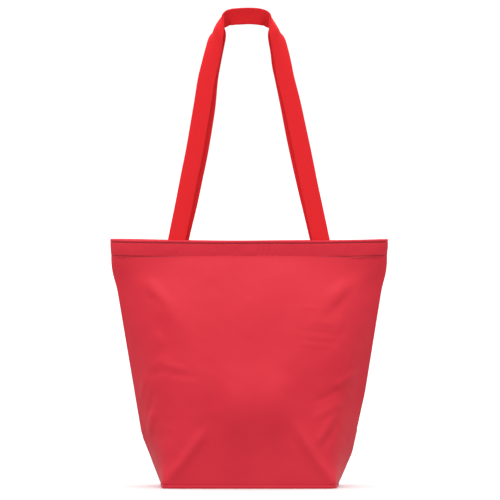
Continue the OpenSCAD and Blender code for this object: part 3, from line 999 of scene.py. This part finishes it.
def build_base():
    cloth = tray("base_cloth", [(0.1 * MM, 1.4 * MM), (0.7 * MM, 0.4 * MM), (2 * MM, 0.05 * MM),
                                (SEAM_UP - 1 * MM, 0.05 * MM), (SEAM_UP - 0.3 * MM, 0.5 * MM),
                                (SEAM_UP - 0.4 * MM, 1.1 * MM), (1.6 * MM, 0.9 * MM), (0.8 * MM, 1.9 * MM)],
                 0.0, 0.6 * MM)
    foam_ply = tray("base_foam_ply", [(0.8 * MM, 3 * MM), (3.1 * MM, 3.6 * MM)], 0.7 * MM, 3.1 * MM)
    foil = tray("base_foil_ply", [(3.3 * MM, 4.3 * MM), (3.7 * MM, 4.3 * MM)],
                3.6 * MM, 3.9 * MM, 0.25 * MM)
    tape = ring_strip("base_binding_tape", [(5.0 * MM, 4.4 * MM), (4.9 * MM, 11 * MM),
                                            (5.6 * MM, 11.6 * MM), (6.6 * MM, 11 * MM),
                                            (6.8 * MM, 4.4 * MM)])
    for piece, slot, node in ((cloth, "coated_fabric", "base_panel"), (foam_ply, "foam", "base_foam"),
                              (foil, "foil_lining", "base_lining"), (tape, "binding_tape", "base_binding")):
        finish_piece(piece, slot)
        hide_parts(node)
        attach(piece, "bag")
    for side, who in ((-1, "left"), (1, "right")):
        tape = side_binding(f"{who}_binding_tape", side)
        finish_piece(tape, "binding_tape")
        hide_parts(f"{who}_side_binding")
        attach(tape, "bag")


def build_hem():
    for side in (-1, 1):
        who = SIDE[side]
        band = finish_piece(hem_band(f"{who}_hem", side), "coated_fabric")
        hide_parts(f"{who}_hem_band", "left_hem_band", "right_hem_band")
        facing = finish_piece(hem_facing(f"{who}_facing", side), "coated_fabric")
        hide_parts(f"{who}_hem_facing", "left_hem_facing", "right_hem_facing")
        swing(band)
        swing(facing)
        for k, height in enumerate(HEM_ROWS):
            row = stitch_row(f"{who}_stitches_{k + 1}", height, side, 0.22 * MM)
            # the stitches take the darkened thread colour, which carries painted groove shade
            finish_piece(row, "coated_fabric", THREAD_WITH_PAINTED_SHADE)
            swing(row)
        tape = finish_piece(zip_tape(f"{who}_tape", side), "zip_tape")
        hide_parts(f"{who}_zip_tape", "left_zip_end", "right_zip_end")
        swing(tape)
        coil = finish_piece(zip_coil(f"{who}_coil", side), "zip_coil")
        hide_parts(f"{who}_zip_coil")
        swing(coil)
    for node in ("zip_slider", "zip_puller", "left_zip_stop", "right_zip_stop"):
        mesh = frame["nodes"][node].data
        mesh.materials.clear()
        mesh.materials.append(MATERIALS["metal"])


def build_straps():
    for side, stops in ((-1, FRONT_STOPS), (1, BACK_STOPS)):
        who = SIDE[side]
        piece = strap(f"{who}_strap", stops, (7.5 if side < 0 else 5) * MM)
        finish_piece(piece, "webbing")
        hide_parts(f"{who}_handle", f"{who}_handle_tails")
        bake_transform(piece)


# ---------------------------------------------------------------- studio
# Brightness of the surroundings, from straight down (0) over the horizon (0.5) to straight up (1):
# a dim floor, a bright horizon and a bright soft top.
SKY = ((0.30, 0.40), (0.48, 0.40), (0.49, 0.64), (0.54, 0.64), (0.60, 0.52), (0.775, 0.62), (0.875, 1.0))
SKY_LIGHT = 1.68
# Each lamp's name, place, width and power.
LIGHTS = (("key", (-0.45, -1.05, 2.6), 1.1, 20), ("rear", (0.5, 1.3, 2.5), 1.2, 18))
LIGHT_AIM = Vector((0, 0, 0.25))


def build_floor():
    """A white floor. It doesn't light the bag and isn't mirrored in it."""
    size, z = 30.0, -0.0004
    corners = [(x * size, y * size, z) for x, y in ((-1, -1), (1, -1), (1, 1), (-1, 1))]
    mesh = bpy.data.meshes.new("floor")
    mesh.from_pydata(corners, [], [(0, 1, 2, 3)])
    floor = bpy.data.objects.new("floor", mesh)
    bpy.context.scene.collection.objects.link(floor)
    mesh.materials.append(pale("floor_paint", (0.94, 0.94, 0.94)))
    floor.visible_diffuse = False
    floor.visible_glossy = False


def build_sky():
    world = bpy.data.worlds.new("studio")
    bpy.context.scene.world = world
    world.use_nodes = True
    tree = world.node_tree
    way = tree.nodes.new("ShaderNodeTexCoord").outputs["Generated"]
    parts = tree.nodes.new("ShaderNodeSeparateXYZ")
    tree.links.new(way, parts.inputs[0])
    ramp = tree.nodes.new("ShaderNodeValToRGB")
    half = tree.nodes.new("ShaderNodeMapRange")
    half.inputs[1].default_value = -1
    tree.links.new(parts.outputs[2], half.inputs[0])
    tree.links.new(half.outputs[0], ramp.inputs[0])
    stops = ramp.color_ramp.elements
    while len(stops) < len(SKY):
        stops.new(0.5)
    for stop, (place, light) in zip(stops, SKY):
        stop.position = place
        stop.color = (light, light, light, 1)
    back = tree.nodes["Background"]
    tree.links.new(ramp.outputs[0], back.inputs[0])
    back.inputs[1].default_value = SKY_LIGHT


def build_lamps():
    """Soft round lamps that light the object only, so that the floor stays even."""
    lit = bpy.data.collections.new("lit_by_key")
    for piece in bpy.context.scene.objects:
        if piece.type == "MESH" and piece.name != "floor":
            lit.objects.link(piece)
    for name, place, width, power in LIGHTS:
        lamp = bpy.data.lights.new(name, "AREA")
        lamp.shape, lamp.size, lamp.energy = "DISK", width, power
        holder = bpy.data.objects.new(name, lamp)
        bpy.context.scene.collection.objects.link(holder)
        holder.location = place
        holder.rotation_euler = (LIGHT_AIM - holder.location).to_track_quat("-Z", "Y").to_euler()
        holder.light_linking.receiver_collection = lit


def build_camera():
    """The photograph's view: straight on, a little above the middle of the object."""
    distance, rise = 14.0, math.radians(1.3)
    aim = Vector((0.0012, 0, 0.3398))
    view_width = 0.719                  # of the plane through the object
    camera = bpy.data.cameras.new("camera")
    camera.sensor_width = 36
    camera.lens = camera.sensor_width * distance / view_width
    holder = bpy.data.objects.new("camera", camera)
    bpy.context.scene.collection.objects.link(holder)
    holder.location = aim + Vector((0, -math.cos(rise), math.sin(rise))) * distance
    holder.rotation_euler = (aim - holder.location).to_track_quat("-Z", "Y").to_euler()
    bpy.context.scene.camera = holder
    bpy.context.scene.view_settings.view_transform = "Standard"


build_camera()
build_floor()
build_sky()
build_walls()
build_base()
build_hem()
build_straps()
build_lamps()
